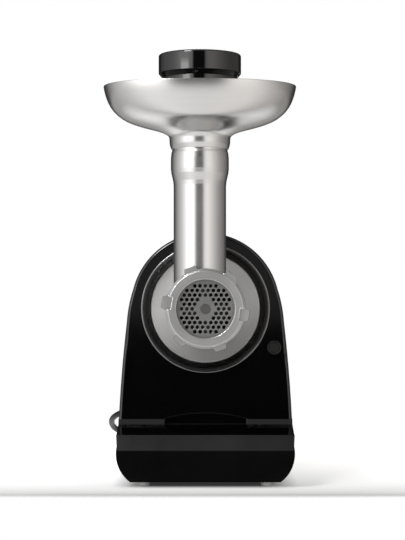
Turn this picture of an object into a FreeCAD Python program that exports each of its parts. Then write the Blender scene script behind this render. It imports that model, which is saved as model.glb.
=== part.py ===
import FreeCAD, Part
import math
import os
import Sketcher

# Electric meat grinder. Millimetres. +X is to the right seen from the front, +Y to the back, +Z up.
# The origin is on the table, under the auger's axis, half-way along the housing.

Vector = FreeCAD.Vector
doc = FreeCAD.newDocument("MeatGrinder")
sheet = doc.addObject("Spreadsheet::Sheet", "Sizes")

driving = {
    "axis_z": 169,          # height of the auger's axis
    "wall": 2.5,            # moulded walls
    "gap": 0.3,             # between pieces that are put together
    "fascia_y": -100,       # front of the housing
    "shell_front_y": -90,   # where the front cover meets the main housing
    "shell_back_y": 97,     # where the rear cover meets it
    "rear_y": 115,          # back of the housing
    "arch_r": 71.8,         # round top of the housing
    "arch_lift": 1.2,       # its centre above the auger's axis
    "hip_half": 75.8,       # half width where the sides straighten
    "hip_z": 156.5,
    "foot_half": 84,        # half width at the foot of the housing
    "split_z": 52,          # top of the base
    "base_front_y": -146,
    "base_low_z": 4.5,
    "collar_r": 62,         # collar ring round the socket
    "disc_r": 52.7,         # steel disc inside it
    "plug_r": 34,           # bayonet plug at the back of the head
    "barrel_r": 32,
    "bore_r": 27.5,
    "plate_r": 31,          # size 8 cutting plate
    "plate_front_y": -187,
    "plate_thick": 5,
    "plate_hole_r": 1.8,
    "plate_pitch": 4.83,
    "stud_r": 4.5,
    "nut_front_y": -192,
    "nut_back_y": -172,
    "nut_r": 35,
    "lug_r": 40.8,
    "aperture_r": 26.5,
    "tube_x": -5.2,         # the feed tube stands a little to one side of the auger
    "tube_y": -147,
    "tube_r": 24.5,
    "throat_r": 22,
    "spigot_top_z": 330,
    "rim_half_x": 90,
    "rim_half_y": 65,
    "rim_z": 376,
    "stem_r": 21.5,
    "pusher_r": 34.5,
    "cap_r": 38.5,
    "cap_low_z": 384,
    "cap_top_z": 406,
    "button_x": 66.3,
    "button_z": 131.4,
    "button_r": 6.5,
    "second_x": 20,         # axle of the second gear
    "second_z": 123.72,
    "first_x": -8,          # axle of the first gear
    "first_z": 98.77,
    "motor_x": 0,
    "motor_z": 72.46,
    "output_module": 1.5,
    "second_module": 1.25,
    "first_module": 1,
    "output_teeth": 54,
    "second_teeth": 48,
    "first_teeth": 45,
    "idler_pinion_teeth": 12,
    "motor_pinion_teeth": 10,
    "stator_r": 38,
    "switch_z": 190,
    "gland_x": -34,
    "gland_z": 64,
    "cord_r": 3.25,
    "coil_x": -11,
    "coil_y": 208,
    "coil_mean_r": 35,
}
for row, (alias, number) in enumerate(driving.items(), start=1):
    sheet.set("A%d" % row, alias)
    sheet.set("B%d" % row, str(number))
    sheet.setAlias("B%d" % row, alias)
doc.recompute()


class Size:
    """A length that holds its value and the sheet expression that gives it."""

    def __init__(self, value, text):
        self.value = value
        self.text = text

    def __add__(self, other):
        return Size(self.value + amount(other), "(%s + %s)" % (self.text, words(other)))

    def __sub__(self, other):
        return Size(self.value - amount(other), "(%s - %s)" % (self.text, words(other)))

    def __rsub__(self, other):
        return Size(amount(other) - self.value, "(%s - %s)" % (words(other), self.text))

    def __mul__(self, other):
        return Size(self.value * amount(other), "(%s * %s)" % (self.text, words(other)))

    def __truediv__(self, other):
        return Size(self.value / amount(other), "(%s / %s)" % (self.text, words(other)))

    def __neg__(self):
        return Size(-self.value, "(0 - %s)" % self.text)

    __radd__ = __add__
    __rmul__ = __mul__


def amount(x):
    return x.value if isinstance(x, Size) else float(x)


def words(x):
    return x.text if isinstance(x, Size) else "(%.6f)" % x


def size(alias):
    return Size(float(sheet.get(alias)), "Sizes." + alias)


def bind(thing, path, x):
    thing.setExpression(path, words(x))


axis_z = size("axis_z")
wall = size("wall")
gap = size("gap")
fascia_y = size("fascia_y")
rear_y = size("rear_y")
split_z = size("split_z")
base_low_z = size("base_low_z")

kept = []
plane_across = {"X": "YZ_Plane", "Y": "XZ_Plane", "Z": "XY_Plane"}
plane_along = {"Y": "XY_Plane", "Z": "XZ_Plane"}


def body(label, at=(0, 0, 0)):
    made = doc.addObject("PartDesign::Body", label)
    made.Label = label
    made.AllowCompound = True
    for way, x in zip("xyz", at):
        bind(made, ".Placement.Base." + way, x)
    kept.append(made)
    return made


def new_sketch(owner, name, role, shift=(0, 0, 0)):
    made = owner.newObject("Sketcher::SketchObject", name)
    plane = [p for p in owner.Origin.OriginFeatures if p.Role == role][0]
    made.AttachmentSupport = [(plane, "")]
    made.MapMode = "FlatFace"
    for way, x in zip("xyz", shift):
        bind(made, ".AttachmentOffset.Base." + way, x)
    return made


def draw_circle(drawn, circle):
    x, y, r = circle
    at = drawn.addGeometry(Part.Circle(Vector(amount(x), amount(y), 0), Vector(0, 0, 1), amount(r)))
    for kind, length in (("DistanceX", x), ("DistanceY", y)):
        fixed = drawn.addConstraint(Sketcher.Constraint(kind, at, 3, amount(length)))
        bind(drawn, "Constraints[%d]" % fixed, length)
    fixed = drawn.addConstraint(Sketcher.Constraint("Radius", at, amount(r)))
    bind(drawn, "Constraints[%d]" % fixed, r)


def draw_outline(drawn, points):
    """A closed outline. A point's third value is the radius of the arc that runs to the next point,
    more than 0 where the arc turns left."""
    flat = [Vector(amount(p[0]), amount(p[1]), 0) for p in points]
    starts = []
    ends = []
    for i, point in enumerate(points):
        a = flat[i]
        b = flat[(i + 1) % len(flat)]
        if len(point) == 2:
            at = drawn.addGeometry(Part.LineSegment(a, b))
            starts.append((at, 1))
            ends.append((at, 2))
            continue
        r = amount(point[2])
        half = (b - a) * 0.5
        left = Vector(-half.y, half.x, 0).normalize()
        centre = a + half + left * math.copysign(math.sqrt(r * r - half.Length ** 2), r)
        first = math.atan2(a.y - centre.y, a.x - centre.x)
        last = math.atan2(b.y - centre.y, b.x - centre.x)
        circle = Part.Circle(centre, Vector(0, 0, 1), abs(r))
        turn = (first, last) if r > 0 else (last, first)
        at = drawn.addGeometry(Part.ArcOfCircle(circle, *turn))
        starts.append((at, 1 if r > 0 else 2))
        ends.append((at, 2 if r > 0 else 1))
        fixed = drawn.addConstraint(Sketcher.Constraint("Radius", at, abs(r)))
        radius = point[2] if r > 0 else -1 * point[2]
        bind(drawn, "Constraints[%d]" % fixed, radius)
    for i, point in enumerate(points):
        drawn.addConstraint(Sketcher.Constraint("Coincident", *ends[i - 1], *starts[i]))
        for kind, length in (("DistanceX", point[0]), ("DistanceY", point[1])):
            fixed = drawn.addConstraint(Sketcher.Constraint(kind, *starts[i], amount(length)))
            bind(drawn, "Constraints[%d]" % fixed, length)


def draw(drawn, shapes):
    for shape in shapes:
        if isinstance(shape, tuple):
            draw_circle(drawn, shape)
        else:
            draw_outline(drawn, shape)


def add(owner, name, way, shapes, low, high):
    """Material between low and high along an axis. Across Y the sketch reads (x, z), across X (y, z)."""
    at = -high if way == "Y" else low
    drawn = new_sketch(owner, name + "_sketch", plane_across[way], (0, 0, at))
    draw(drawn, shapes)
    made = owner.newObject("PartDesign::Pad", name)
    made.Profile = drawn
    bind(made, "Length", high - low)
    return made


def cut(owner, name, way, shapes, low, high):
    """A pocket between low and high along an axis. The removed volume is checked at the end."""
    at = -low if way == "Y" else high
    drawn = new_sketch(owner, name + "_sketch", plane_across[way], (0, 0, at))
    draw(drawn, shapes)
    made = owner.newObject("PartDesign::Pocket", name)
    made.Profile = drawn
    bind(made, "Length", high - low)
    return made


def turn(owner, name, way, outline, at=(0, 0), remove=False):
    """A turned shape about an axis along way: the outline's points are (radius, place along the axis)."""
    shift = (at[0], 0, at[1]) if way == "Y" else (at[0], 0, -1 * at[1])
    drawn = new_sketch(owner, name + "_sketch", plane_along[way], shift)
    draw(drawn, [outline])
    made = owner.newObject("PartDesign::Groove" if remove else "PartDesign::Revolution", name)
    made.Profile = drawn
    made.ReferenceAxis = (drawn, ["V_Axis"])
    made.Angle = 360
    return made


def round_pattern(owner, name, feature, count, way="N_Axis"):
    made = owner.newObject("PartDesign::PolarPattern", name)
    made.Originals = [feature]
    made.Axis = (feature.Profile[0], [way])
    made.Angle = 360
    made.Occurrences = count
    owner.Tip = made
    return made


def row_pattern(owner, name, feature, count, length, way="V_Axis"):
    made = owner.newObject("PartDesign::LinearPattern", name)
    made.Originals = [feature]
    made.Direction = (feature.Profile[0], [way])
    made.Length = length
    made.Occurrences = count
    owner.Tip = made
    return made


def round_edges(owner, name, radius, chosen):
    doc.recompute()
    base = owner.Tip
    edges = ["Edge%d" % (i + 1) for i, e in enumerate(base.Shape.Edges) if chosen(e)]
    made = owner.newObject("PartDesign::Fillet", name)
    made.Base = (base, edges)
    made.Radius = radius
    return made


def feature(label, shape, at=(0, 0, 0)):
    """A piece whose shape neither sketches nor primitives give. Its sizes are read from the sheet."""
    made = doc.addObject("Part::Feature", label)
    made.Label = label
    made.Shape = shape
    for way, x in zip("xyz", at):
        bind(made, ".Placement.Base." + way, x)
    kept.append(made)
    return made


def box_outline(low_x, low_y, high_x, high_y):
    return [(low_x, low_y), (high_x, low_y), (high_x, high_y), (low_x, high_y)]


def sector(inner, outer, middle, half):
    """A piece of a ring, half degrees each side of its middle angle."""
    a = math.radians(middle - half)
    b = math.radians(middle + half)
    return [
        (inner * math.cos(a), inner * math.sin(a)),
        (outer * math.cos(a), outer * math.sin(a), outer),
        (outer * math.cos(b), outer * math.sin(b)),
        (inner * math.cos(b), inner * math.sin(b), -1 * inner),
    ]


# ---- Housing -----------------------------------------------------------------------------------

def arch_outline(inset, low):
    """The housing seen from the front: a round top, shoulders, and sides that widen to the foot."""
    r = size("arch_r") - inset
    centre_z = axis_z + size("arch_lift")
    leave = math.radians(14)
    shoulder_x = r * math.cos(leave)
    shoulder_z = centre_z + r * math.sin(leave)
    hip = size("hip_half") - inset
    hip_z = size("hip_z")
    foot = size("foot_half") - inset
    return [
        (-foot, low),
        (foot, low, 1415),
        (hip, hip_z, 129),
        (shoulder_x, shoulder_z, r),
        (0, centre_z + r, r),
        (-shoulder_x, shoulder_z, 129),
        (-hip, hip_z, 1415),
    ]


def is_outline_edge(y):
    """Whether an edge is in the plane at y and isn't the straight foot of the housing."""

    def test(edge):
        box = edge.BoundBox
        flat = abs(box.YMin - y) < 0.01 and abs(box.YMax - y) < 0.01
        return flat and box.ZMax > split_z.value + 5

    return test


screw_places = [(-1, 75, 70), (1, 75, 70), (-1, 43, 216), (1, 43, 216)]


def make_front_cover():
    cover = body("front_cover")
    back = size("shell_front_y") - gap
    foot_z = split_z + gap
    add(cover, "fascia", "Y", [arch_outline(0, foot_z)], fascia_y, back)
    round_edges(cover, "soft_edge", 3, is_outline_edge(fascia_y.value))
    cut(cover, "hollow", "Y", [arch_outline(3, 74)], fascia_y + 3, back)
    lip = size("base_front_y")
    ledge = [
        (fascia_y + 0.5, split_z + 11),
        (fascia_y - 3.5, split_z + 5.4),
        (lip + 7.2, split_z - 2),
        (lip + 7.8, split_z - 4.4),
        (fascia_y + 2, foot_z),
        (fascia_y + 5, foot_z),
    ]
    add(cover, "ledge", "X", [ledge], -83.7, 83.7)
    niche = [(-40, 57), (40, 57), (40, 62.6, 148), (-40, 62.6)]
    cut(cover, "niche", "Y", [niche], fascia_y - 5, fascia_y + 7)
    cut(cover, "socket_hole", "Y", [(0, axis_z, size("collar_r") - 2.7)], fascia_y - 1, fascia_y + 4)
    button = (size("button_x"), size("button_z"), size("button_r") + gap)
    cut(cover, "button_hole", "Y", [button], fascia_y - 1, fascia_y + 4)


def make_main_housing():
    shell = body("main_housing")
    front = size("shell_front_y")
    back = size("shell_back_y")
    add(shell, "outside", "Y", [arch_outline(0, split_z + gap)], front, back)
    cut(shell, "inside", "Y", [arch_outline(wall, split_z + gap + wall)], front - 1, back + 1)
    opening = box_outline(-44, -8, 44, back - 1)
    cut(shell, "motor_opening", "Z", [opening], split_z - 1, split_z + 8)
    bosses = [(side * x, z, 7) for side, x, z in screw_places]
    add(shell, "screw_bosses", "Y", bosses, 62, back)
    holes = [(side * x, z, 2.0) for side, x, z in screw_places]
    cut(shell, "screw_holes", "Y", holes, 66, back + 1)


def make_rear_cover():
    cover = body("rear_cover")
    front = size("shell_back_y") + gap
    add(cover, "outside", "Y", [arch_outline(0, split_z + gap)], front, rear_y)
    round_edges(cover, "soft_edge", 4, is_outline_edge(rear_y.value))
    cut(cover, "inside", "Y", [arch_outline(wall, split_z + gap + wall)], front - 1, rear_y - wall)
    slot = cut(cover, "slot", "Y", [box_outline(-34, 84, 34, 87)], rear_y - 6, rear_y + 1)
    row_pattern(cover, "slots", slot, 9, 64)
    switch = box_outline(-14.2, size("switch_z") - 10.7, 14.2, size("switch_z") + 10.7)
    cut(cover, "switch_hole", "Y", [switch], rear_y - 6, rear_y + 1)
    cut(cover, "gland_hole", "Y", [(size("gland_x"), size("gland_z"), 6.1)], rear_y - 6, rear_y + 1)
    posts = [(side * x, z, 6) for side, x, z in screw_places]
    add(cover, "screw_posts", "Y", posts, front, rear_y - 1)
    cut(cover, "screw_holes", "Y", [(side * x, z, 2.3) for side, x, z in screw_places], front - 1, rear_y + 1)
    cut(cover, "screw_sinks", "Y", [(side * x, z, 4.2) for side, x, z in screw_places], rear_y - 4, rear_y + 1)


def make_housing_screws():
    screws = body("housing_screws")
    add(screws, "shanks", "Y", [(side * x, z, 1.95) for side, x, z in screw_places], 72, rear_y - 4)
    add(screws, "heads", "Y", [(side * x, z, 3.9) for side, x, z in screw_places], rear_y - 4, rear_y - 1.2)
    slots = []
    for side, x, z in screw_places:
        slots.append(box_outline(side * x - 2.4, z - 0.5, side * x + 2.4, z + 0.5))
    cut(screws, "drive_slots", "Y", slots, rear_y - 2.4, rear_y)


def make_base():
    base = body("base_shell")
    lip = size("base_front_y")
    side_profile = [
        (-128, base_low_z),
        (112, base_low_z),
        (112, split_z),
        (fascia_y + 2, split_z),
        (lip + 7.5, split_z - 4.8),
        (lip + 6.9, split_z - 2),
        (lip + 6, split_z - 1.8),
        (lip, split_z - 16, 42),
    ]
    add(base, "block", "X", [side_profile], -84, 84)
    for side, name in ((1, "right_flank"), (-1, "left_flank")):
        r = -38 * side
        flank = [
            (side * 84, split_z - 1),
            (side * 83.2, split_z - 12, r),
            (side * 71.2, base_low_z),
            (side * 71.2, 0),
            (side * 96, 0),
            (side * 96, 60),
            (side * 84, 60),
        ]
        cut(base, name, "Y", [flank], lip - 2, 113)
    cut(base, "inside", "Z", [box_outline(-66, lip + 22, 66, 109)], base_low_z - 1, split_z - 8)
    cut(base, "motor_opening", "Z", [box_outline(-44, -8, 44, 104)], split_z - 9, split_z + 1)
    plate = body("bottom_plate")
    outline = box_outline(-65.7, lip + 22.3, 65.7, 108.7)
    add(plate, "sheet", "Z", [outline], base_low_z + 0.8, base_low_z + 3.3)
    slot = cut(plate, "air_slot", "Z", [box_outline(-30, 20, 30, 24)], 0, 20)
    row_pattern(plate, "air_slots", slot, 6, 50)
    doc.recompute()
    corners = [(x, y, 2.3) for x in (-50, 50) for y in (-105, 95)]
    cut(plate, "screw_holes", "Z", corners, 0, 20)
    screws = body("base_screws")
    add(screws, "shanks", "Z", [(x, y, 1.95) for x, y, _ in corners], base_low_z + 0.8, split_z - 8)
    add(screws, "heads", "Z", [(x, y, 3.8) for x, y, _ in corners], base_low_z - 1.2, base_low_z + 0.8)


def make_feet():
    for end, y in (("front", -116), ("rear", 88)):
        for hand, x in (("left", -59), ("right", 59)):
            foot = body("foot_%s_%s" % (end, hand), (x, y, 0))
            high = base_low_z + 0.8
            turn(foot, "pad", "Z", [(0, 0), (5.2, 0), (6.2, 1.0), (6.6, high), (0, high)])


def make_collar():
    ring = body("collar_ring", (0, 0, axis_z))
    r = size("collar_r")
    bore = size("disc_r") + 0.3
    outline = [
        (bore, fascia_y + 8),
        (r - 3, fascia_y + 8),
        (r - 3, fascia_y - 0.1),
        (r, fascia_y - 0.1),
        (r, fascia_y - 1.2, 1.8),
        (r - 1.8, fascia_y - 3),
        (r - 2.8, fascia_y - 3, 1.8),
        (r - 4.2, fascia_y - 2.2),
        (bore, fascia_y + 5),
    ]
    turn(ring, "bead", "Y", outline)
    disc = body("hub_disc", (0, 0, axis_z))
    holes = [(0, 0, size("plug_r") + 1.2)]
    add(disc, "sheet", "Y", [(0, 0, size("disc_r"))], fascia_y + 5.8, fascia_y + 7.4)
    cut(disc, "middle", "Y", holes, fascia_y + 5, fascia_y + 8)


lug_angles = (90, 210, 330)
unlock_angle = -45


def make_socket():
    """The seat of the head's bayonet: three lugs enter by slots and turn in a groove behind them."""
    socket = body("hub_socket", (0, 0, axis_z))
    front = fascia_y + 7.7
    inner = size("plug_r") + 0.4
    groove = size("plug_r") + 4
    outline = [
        (inner, front),
        (50, front),
        (50, front + 4),
        (44, front + 4),
        (44, -60.3),
        (14, -60.3),
        (14, -67),
        (groove, -67),
        (groove, -82),
        (inner, -82),
    ]
    turn(socket, "seat", "Y", outline)
    slots = [sector(30, groove.value, a + unlock_angle, 18) for a in lug_angles]
    cut(socket, "entry_slots", "Y", slots, front - 1, -81)


# ---- Gear train --------------------------------------------------------------------------------

centres = {
    "output": (0, axis_z),
    "second": (size("second_x"), size("second_z")),
    "first": (size("first_x"), size("first_z")),
    "motor": (size("motor_x"), size("motor_z")),
}


def direction(start, end):
    """The angle from one axle to another, from +X towards +Z, in degrees."""
    a = centres[start]
    b = centres[end]
    return math.degrees(math.atan2(amount(b[1]) - amount(a[1]), amount(b[0]) - amount(a[0])))


def gear_solid(teeth, module, phase, low, high):
    """Involute teeth, one of them at the phase angle, between low and high along Y."""
    teeth = int(teeth)
    pressure = math.radians(25)
    play = 0.07
    pitch_r = teeth * module / 2
    base_r = pitch_r * math.cos(pressure)
    tip_r = pitch_r + 0.85 * module
    root_r = pitch_r - 1.1 * module
    start_r = max(base_r, root_r + 0.05)
    involute = math.tan(pressure) - pressure
    half = (math.pi * module / 2 - play) / 2 / pitch_r
    flank = []
    steps = 4
    for i in range(steps + 1):
        r = start_r + (tip_r - start_r) * i / steps
        at = math.acos(base_r / r)
        flank.append((r, half + involute - (math.tan(at) - at)))
    flank.insert(0, (root_r, flank[0][1] + 0.25 * (math.pi / teeth - flank[0][1])))
    points = []
    for tooth in range(teeth):
        middle = math.radians(phase) + 2 * math.pi * tooth / teeth
        angles = [(r, middle - a) for r, a in flank] + [(r, middle + a) for r, a in reversed(flank)]
        points += [Vector(r * math.cos(a), low, r * math.sin(a)) for r, a in angles]
    face = Part.Face(Part.makePolygon(points + points[:1]))
    return face.extrude(Vector(0, high - low, 0))


def along_y(radius, low, high, x=0, z=0):
    return Part.makeCylinder(radius, high - low, Vector(x, low, z), Vector(0, 1, 0))


def value(alias):
    return size(alias).value


def lightened(gear, rim_r, hub_r, low, high, depth):
    """A web thinner than the rim, as moulded gears have."""
    for a, b in ((low - 1, low + depth), (high - depth, high + 1)):
        gear = gear.cut(along_y(rim_r, a, b).cut(along_y(hub_r, a - 1, b + 1)))
    return gear


def make_gears():
    idler = value("idler_pinion_teeth")
    to_second = direction("output", "second")
    to_first = direction("second", "first")
    to_motor = direction("first", "motor")
    output = gear_solid(value("output_teeth"), value("output_module"), to_second, -52, -38)
    output = lightened(output, 35, 14, -52, -38, 4)
    feature("output_gear", output.cut(along_y(9, -60, -30)), (0, 0, axis_z))

    wheel = gear_solid(value("second_teeth"), value("second_module"), to_first, -34, -24)
    wheel = lightened(wheel, 25, 11.5, -34, -24, 2.5)
    gap_phase = to_second + 180 + 180 / idler
    pinion = gear_solid(idler, value("output_module"), gap_phase, -53, -33.5)
    cluster = wheel.fuse(pinion).cut(along_y(4.06, -60, -10))
    feature("second_gear", cluster, (size("second_x"), 0, size("second_z")))

    wheel = gear_solid(value("first_teeth"), value("first_module"), to_motor, -20, -12)
    wheel = lightened(wheel, 18.5, 9.5, -20, -12, 2)
    gap_phase = to_first + 180 + 180 / idler
    pinion = gear_solid(idler, value("second_module"), gap_phase, -35, -19.5)
    cluster = wheel.fuse(pinion).cut(along_y(4.06, -60, -5))
    feature("first_gear", cluster, (size("first_x"), 0, size("first_z")))


def gearbox_outline(inset):
    """Round over the output gear, and narrowing to the motor's pinion."""
    r = 47 - inset
    return [
        (r, axis_z, r),
        (0, axis_z + r, r),
        (-r, axis_z),
        (-38.5 + inset, 100),
        (-27 + inset, 66),
        (-14 + inset / 2, 57 + inset),
        (20 - inset / 2, 57 + inset),
        (46 - inset, 88),
        (58 - inset, 123),
    ]


def make_gearbox():
    case = body("gearbox_housing")
    add(case, "outside", "Y", [gearbox_outline(0)], -60, -8)
    cut(case, "inside", "Y", [gearbox_outline(3)], -57, -7)
    axles = [(*centres[name], 6.5) for name in ("second", "first")]
    add(case, "axle_bosses", "Y", axles, -59, -54)
    add(case, "shaft_boss", "Y", [(0, axis_z, 16)], -60, -53.4)
    cut(case, "shaft_bore", "Y", [(0, axis_z, 13)], -61, -52)
    cut(case, "axle_bores", "Y", [(*centres[name], 4) for name in ("second", "first")], -58.6, -53)
    cover = body("gearbox_cover")
    add(cover, "plate", "Y", [gearbox_outline(0)], -7.7, -4)
    add(cover, "shaft_boss", "Y", [(0, axis_z, 16)], -12, -7)
    cut(cover, "shaft_bore", "Y", [(0, axis_z, 12)], -13, -3)
    add(cover, "motor_boss", "Y", [(*centres["motor"], 12)], -9, -4)
    cut(cover, "motor_bore", "Y", [(*centres["motor"], 9)], -10, -3)
    cut(cover, "axle_bores", "Y", [(*centres[name], 4) for name in ("second", "first")], -8, -5)
    ears = [(-38, 200), (38, 200), (50, 152), (-38.5, 136), (38, 82), (-24, 70)]
    screws = body("gearbox_screws")
    add(screws, "heads", "Y", [(x, z, 3.4) for x, z in ears], -4, -1.4)
    for name, make in (("second_axle", "second"), ("first_axle", "first")):
        axle = body(name, (centres[make][0], 0, centres[make][1]))
        add(axle, "pin", "Y", [(0, 0, 4)], -58.5, -5.1)
    for name, low, high, outer in (("output_bush_front", -63, -53.4, 13), ("output_bush_rear", -12, -4, 12)):
        bush = body(name, (0, 0, axis_z))
        add(bush, "sleeve", "Y", [(0, 0, outer), (0, 0, 9.05)], low, high)


def hexagon(across_flats, turned=0):
    r = across_flats / math.sqrt(3)
    angles = [math.radians(60 * i + turned) for i in range(6)]
    return [(r * math.cos(a), r * math.sin(a)) for a in angles]


def make_output_shaft():
    shaft = body("output_shaft", (0, 0, axis_z))
    add(shaft, "bar", "Y", [(0, 0, 9)], -73, -3)
    cut(shaft, "drive_socket", "Y", [hexagon(12.3)], -74, -61)


# ---- Motor -------------------------------------------------------------------------------------

motor_at = (size("motor_x"), 0, size("motor_z"))


def make_motor():
    r = size("stator_r")
    bolts = [(0, 33.4), (0, -33.4)]
    stator = body("motor_stator", motor_at)
    add(stator, "core", "Y", [(0, 0, r)], 15, 60)
    cut(stator, "bore", "Y", [(0, 0, 20)], 14, 61)
    windows = [sector(19, 32, middle, 38) for middle in (0, 180)]
    cut(stator, "windows", "Y", windows, 14, 61)
    cut(stator, "bolt_holes", "Y", [(x, z, 2.0) for x, z in bolts], 14, 61)

    coils = body("field_coils", motor_at)
    sides = [sector(21, 31.4, middle, 15) for middle in (18.5, 161.5, 198.5, 341.5)]
    ends = [sector(21, 31.4, middle, 86.5) for middle in (90, 270)]
    add(coils, "sides", "Y", sides, 12, 63)
    add(coils, "front_turns", "Y", ends, 8, 14.6)
    add(coils, "rear_turns", "Y", ends, 60.4, 67)

    core = body("armature_core", motor_at)
    add(core, "stack", "Y", [(0, 0, 19.4)], 17, 58)
    slot = cut(core, "slot", "Y", [sector(11, 20.5, 0, 6)], 16, 59)
    round_pattern(core, "slots", slot, 12)
    cut(core, "shaft_bore", "Y", [(0, 0, 4)], 16, 59)

    windings = body("armature_windings", motor_at)
    add(windings, "front_knot", "Y", [(0, 0, 16.5), (0, 0, 4)], 10.5, 17)
    add(windings, "rear_knot", "Y", [(0, 0, 16.5), (0, 0, 4)], 58, 68)
    wires = [sector(11.4, 18.6, 30 * i, 4.8) for i in range(12)]
    add(windings, "slot_wires", "Y", wires, 16.8, 58.2)

    commutator = body("commutator", motor_at)
    add(commutator, "drum", "Y", [(0, 0, 12), (0, 0, 4)], 71, 86)
    bar = cut(commutator, "bar_gap", "Y", [box_outline(10.4, -0.25, 13, 0.25)], 70, 84)
    round_pattern(commutator, "bar_gaps", bar, 24)

    fan = body("cooling_fan", motor_at)
    turn(fan, "hub", "Y", [(4, -1), (8, -1), (9, 4.5), (31, 6), (31, 7.2), (4, 7.2)])
    blade = add(fan, "blade", "Y", [box_outline(7, -0.7, 30.5, 0.7)], 0, 6.5)
    round_pattern(fan, "blades", blade, 11)

    frame = body("motor_end_frame", motor_at)
    cup = [
        (r - 2.5, 60.3), (r, 60.3), (r, 95), (11, 95), (11, 89), (14, 89), (14, 92), (r - 2.5, 92),
    ]
    turn(frame, "cup", "Y", cup)
    cut(frame, "windows", "Y", [sector(16, 33, middle, 28) for middle in (45, 135, 225, 315)], 91, 96)
    vents = [box_outline(-9, 70, 9, 88)]
    cut(frame, "brush_windows", "X", [box_outline(72, -6.4, 86, 6.4)], -39, 39)
    cut(frame, "cooling_windows", "Z", vents, -39, 39)
    cut(frame, "bolt_holes", "Y", [(x, z, 2.0) for x, z in bolts], 91, 96)

    bolt_group = body("motor_bolts", motor_at)
    add(bolt_group, "shanks", "Y", [(x, z, 1.8) for x, z in bolts], -4, 95)
    add(bolt_group, "heads", "Y", [(x, z, 3.4) for x, z in bolts], 95, 97.8)

    for name, low, high, outer in (("motor_bearing_front", -9, -4, 9), ("motor_bearing_rear", 89, 95, 11)):
        bearing = body(name, motor_at)
        add(bearing, "race", "Y", [(0, 0, outer), (0, 0, 4.05)], low, high)

    holders = body("brush_holders", motor_at)
    brushes = body("carbon_brushes", motor_at)
    for side, low, high in (("right", 14, 36), ("left", -36, -14)):
        walls = [box_outline(73.5, -5, 84.5, 5), box_outline(75.4, -3.2, 82.6, 3.2)]
        add(holders, side + "_tube", "X", walls, low, high)
        low, high = (12.2, 26) if side == "right" else (-26, -12.2)
        add(brushes, side + "_brush", "X", [box_outline(75.6, -3, 82.4, 3)], low, high)

    pinion = gear_solid(
        value("motor_pinion_teeth"),
        value("first_module"),
        direction("first", "motor") + 180 + 180 / value("motor_pinion_teeth"),
        -21,
        -9.4,
    )
    shaft = pinion.fuse(along_y(4, -9.5, 99))
    feature("motor_shaft", shaft, motor_at)


# ---- Switch, button, cord entry ----------------------------------------------------------------

def make_switch():
    at = (0, rear_y, size("switch_z"))
    case = body("switch_body", at)
    add(case, "bezel", "Y", [box_outline(-16, -12.5, 16, 12.5)], 0, 2)
    add(case, "case", "Y", [box_outline(-13.9, -10.4, 13.9, 10.4)], -20, 0)
    cut(case, "well", "Y", [box_outline(-11.5, -8.8, 11.5, 8.8)], -11, 3)
    add(case, "tabs", "Y", [box_outline(x - 0.4, -3, x + 0.4, 3) for x in (-8, 8)], -28, -19)
    rocker = body("switch_rocker", at)
    rocker.Placement = FreeCAD.Placement(rocker.Placement.Base, FreeCAD.Rotation(Vector(1, 0, 0), 12))
    side = [(-7, -3), (-7, 3), (0, 8.1), (3.6, 8.1, 22), (3.6, -8.1), (0, -8.1)]
    add(rocker, "key", "X", [side], -11.1, 11.1)


def make_button():
    x = size("button_x")
    z = size("button_z")
    r = size("button_r")
    guide = body("button_guide", (x, 0, z))
    tube = [(8.6, -96.9), (9.4, -96.9), (9.4, -72), (3.6, -72), (3.6, -74), (8.6, -74)]
    turn(guide, "tube", "Y", tube)
    button = body("release_button", (x, 0, z))
    outline = [
        (0, fascia_y - 2.4),
        (r - 1.6, fascia_y - 2.4),
        (r - 1.2, fascia_y - 3.2),
        (r - 0.5, fascia_y - 3.2, -0.5),
        (r, fascia_y - 2.7),
        (r, -96.6),
        (8.2, -96.6),
        (8.2, -94.4),
        (3, -94.4),
        (3, -84),
        (0, -84),
    ]
    turn(button, "plunger", "Y", outline)
    # The spring's wire is modelled six-sided, which keeps a thin coil light.
    pitch, height, middle, thick = 3.1, 19.4, 5.4, 0.9
    coil = Part.makeLongHelix(pitch, height, middle)
    corners = []
    for side in range(7):
        turned = math.radians(60 * side)
        corners.append(Vector(middle + thick / 2 * math.cos(turned), 0, thick / 2 * math.sin(turned)))
    ring = Part.makePolygon(corners)
    spring = Part.Wire(coil.Edges).makePipeShell([ring], True, True)
    spring.rotate(Vector(0, 0, 0), Vector(1, 0, 0), -90)
    spring.translate(Vector(0, -93.9, 0))
    feature("button_spring", spring, (x, 0, z))


# The lead leaves the gland, bends to the left, comes back behind the housing and runs down to the coil.
lead_route = [
    (-34, 138, 64),
    (-34, 158, 64),
    (-44, 175, 62),
    (-61, 185.5, 57),
    (-81, 186, 53),
    (-98.5, 195.5, 48),
    (-108.5, 213, 41),
    (-108.5, 233, 33.5),
    (-98.5, 250, 27),
    (-81, 260, 21.5),
    (-61.5, 262.5, 16),
    (-37.5, 262, 11),
    (-14, 256, 6.8),
    (7.2, 245.3, 4.15),
]
relief_length = 23


def rounded_path(points):
    """Straight runs joined by tangent arcs, each as large as its two runs allow. Also the arcs' radii."""
    spots = [Vector(*p) for p in points]
    edges = []
    radii = []
    last = spots[0]
    for i in range(1, len(spots) - 1):
        back = spots[i - 1] - spots[i]
        ahead = spots[i + 1] - spots[i]
        bend = math.pi - back.getAngle(ahead)
        tangent = 0.45 * min(back.Length, ahead.Length)
        radii.append(tangent / math.tan(bend / 2))
        a = spots[i] + back.normalize() * tangent
        b = spots[i] + ahead.normalize() * tangent
        inward = (back + ahead).normalize()
        reach = radii[-1] / math.cos(bend / 2) - radii[-1]
        edges.append(Part.LineSegment(last, a).toShape())
        edges.append(Part.Arc(a, spots[i] + inward * reach, b).toShape())
        last = b
    edges.append(Part.LineSegment(last, spots[-1]).toShape())
    return Part.Wire(edges), radii


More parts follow.
